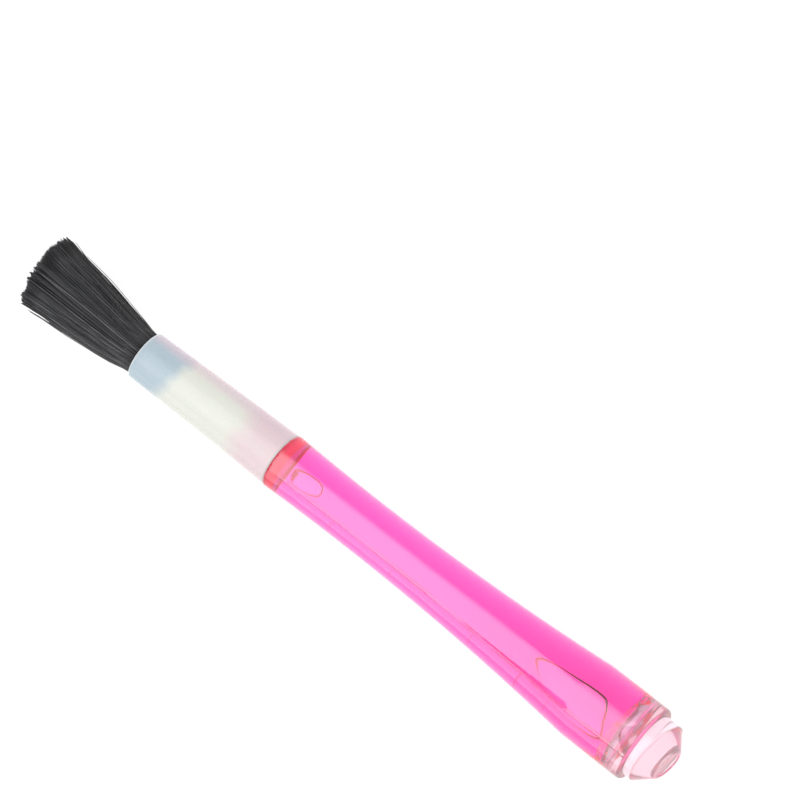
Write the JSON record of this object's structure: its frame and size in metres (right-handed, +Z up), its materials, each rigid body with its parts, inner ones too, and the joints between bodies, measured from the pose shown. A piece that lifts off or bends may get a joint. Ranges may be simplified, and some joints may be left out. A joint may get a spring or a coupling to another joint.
{
  "type": "lens cleaning brush",
  "caption": "Pen-shaped lens cleaning brush: black flared bristle tuft in a milky push-on ferrule, on a waisted clear handle filled with pink liquid and closed by a stepped clear crown.",
  "frame": {"origin": "on the surface the pen lies on, under the middle of its length", "axes": "+X along the pen from the tuft to the crown, +Z up, +Y across the pen"},
  "size_m": [0.136, 0.0144, 0.0142],
  "materials": {
    "clear_acrylic": "clear, polished",
    "pink_liquid": "dyed clear liquid",
    "coral_acrylic": "clear, dye-stained, polished",
    "stained_cement": "clear adhesive, dye-stained",
    "crown_acrylic": "clear, polished",
    "milky_plastic": "milky, translucent, satin",
    "black_nylon": "fine drawn filaments",
    "root_adhesive": "cured adhesive"
  },
  "bodies": {
    "handle": {"handle_shell": "clear_acrylic", "liquid_fill": "pink_liquid", "front_plug": "coral_acrylic", "plug_cement": "stained_cement", "crown_cap": "crown_acrylic", "crown_cement": "stained_cement"},
    "brush_head": {"ferrule": "milky_plastic", "bristle_tuft": "black_nylon", "root_potting": "root_adhesive"}
  },
  "joints": [
    {"name": "brush_head_pull", "type": "slide", "parent": "handle", "child": "brush_head", "axis": [-1, 0, 0], "range_m": [0, 0.009]}
  ]
}
